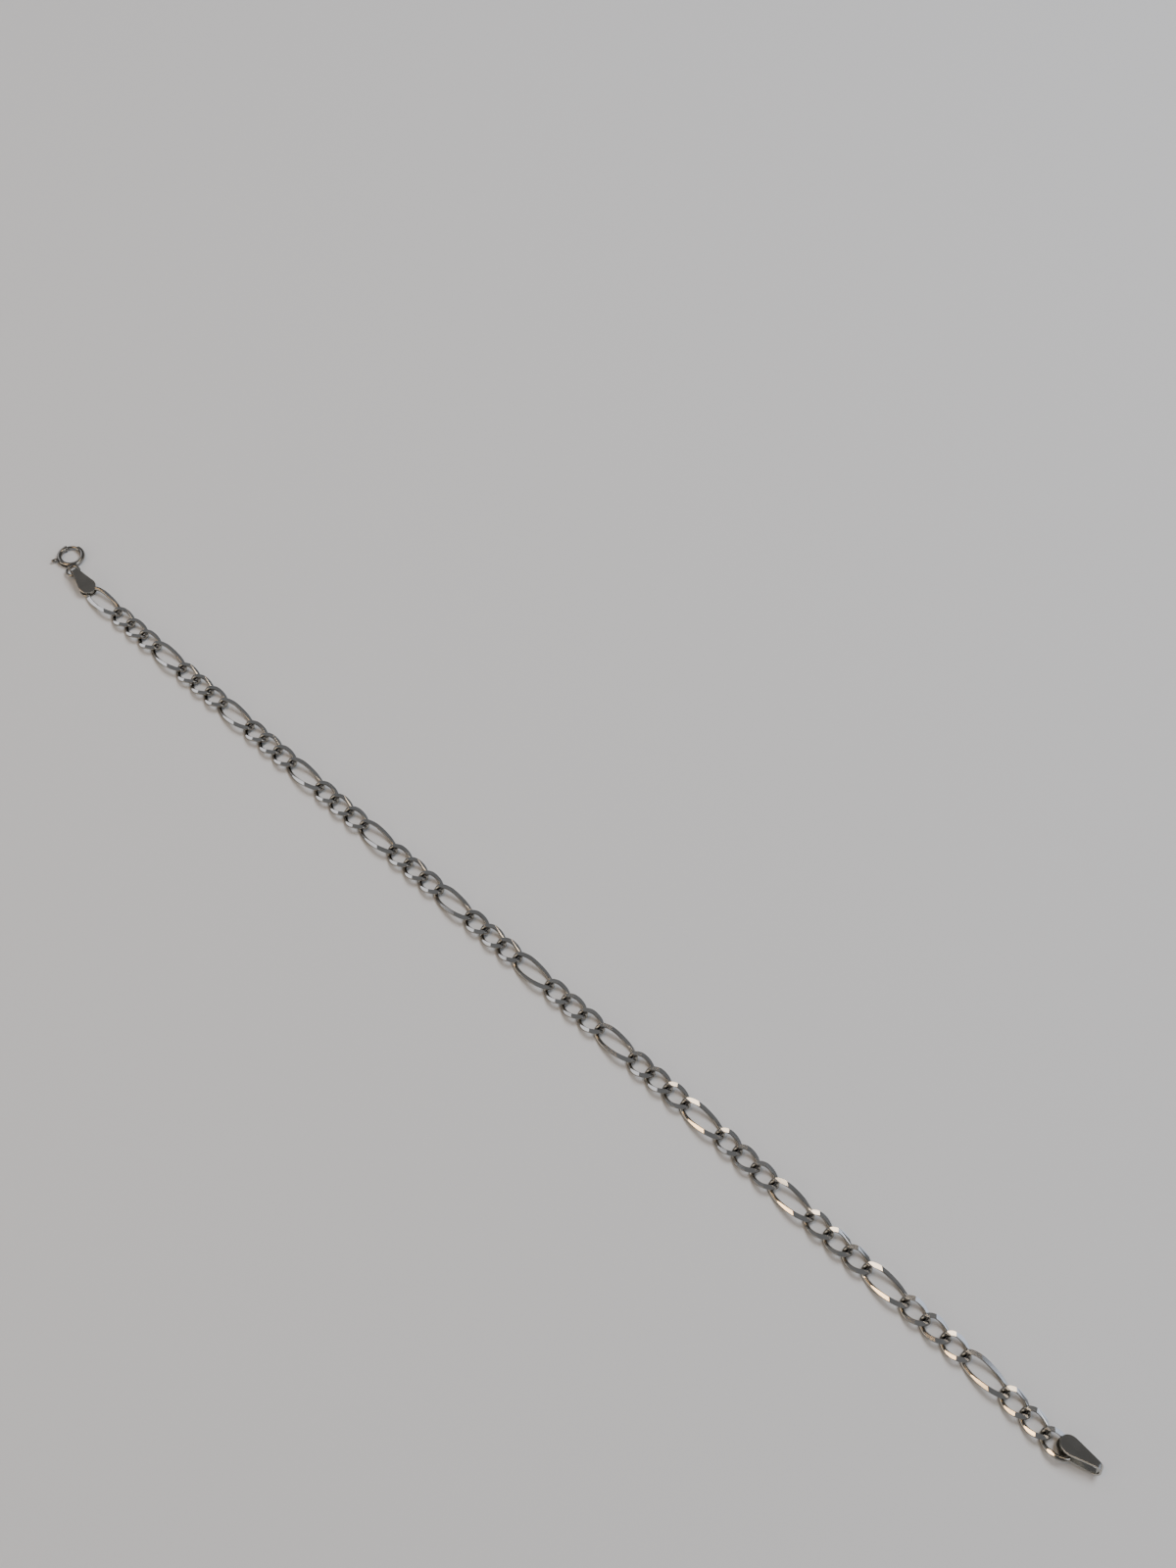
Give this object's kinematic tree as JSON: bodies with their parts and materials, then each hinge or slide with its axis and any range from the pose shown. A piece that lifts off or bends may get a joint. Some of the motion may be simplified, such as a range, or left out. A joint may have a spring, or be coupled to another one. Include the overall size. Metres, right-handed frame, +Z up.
{
  "type": "link bracelet",
  "caption": "Silver bracelet of long and short twisted curb links, laid out open, with a spring ring clasp at one end and a folded end tab at the other.",
  "frame": {"origin": "on the table under the middle of the whole bracelet as it lies", "axes": "+X along the chain from the clasp to the end tab, +Z up from the table"},
  "size_m": [0.2163, 0.0074, 0.0023],
  "materials": {
    "chain": "diamond-cut polished silver",
    "clasp_tab": "polished silver sheet",
    "end_tab": "polished silver sheet",
    "clasp_ring": "polished silver tube",
    "clasp_bolt": "polished silver wire"
  },
  "bodies": {
    "bracelet": {"chain": "chain", "clasp_tab": "clasp_tab", "end_tab": "end_tab", "clasp_ring": "clasp_ring"},
    "bolt": {"clasp_bolt": "clasp_bolt"}
  },
  "joints": [
    {"name": "clasp_bolt_hinge", "type": "hinge", "parent": "bracelet", "child": "bolt", "pos_m": [-0.1057, 0.00132, 0.00048], "axis": [0, 0, 1], "range_deg": [0, 57], "stiffness_Nm_per_rad": 0.001, "springref_deg": -28.65}
  ]
}
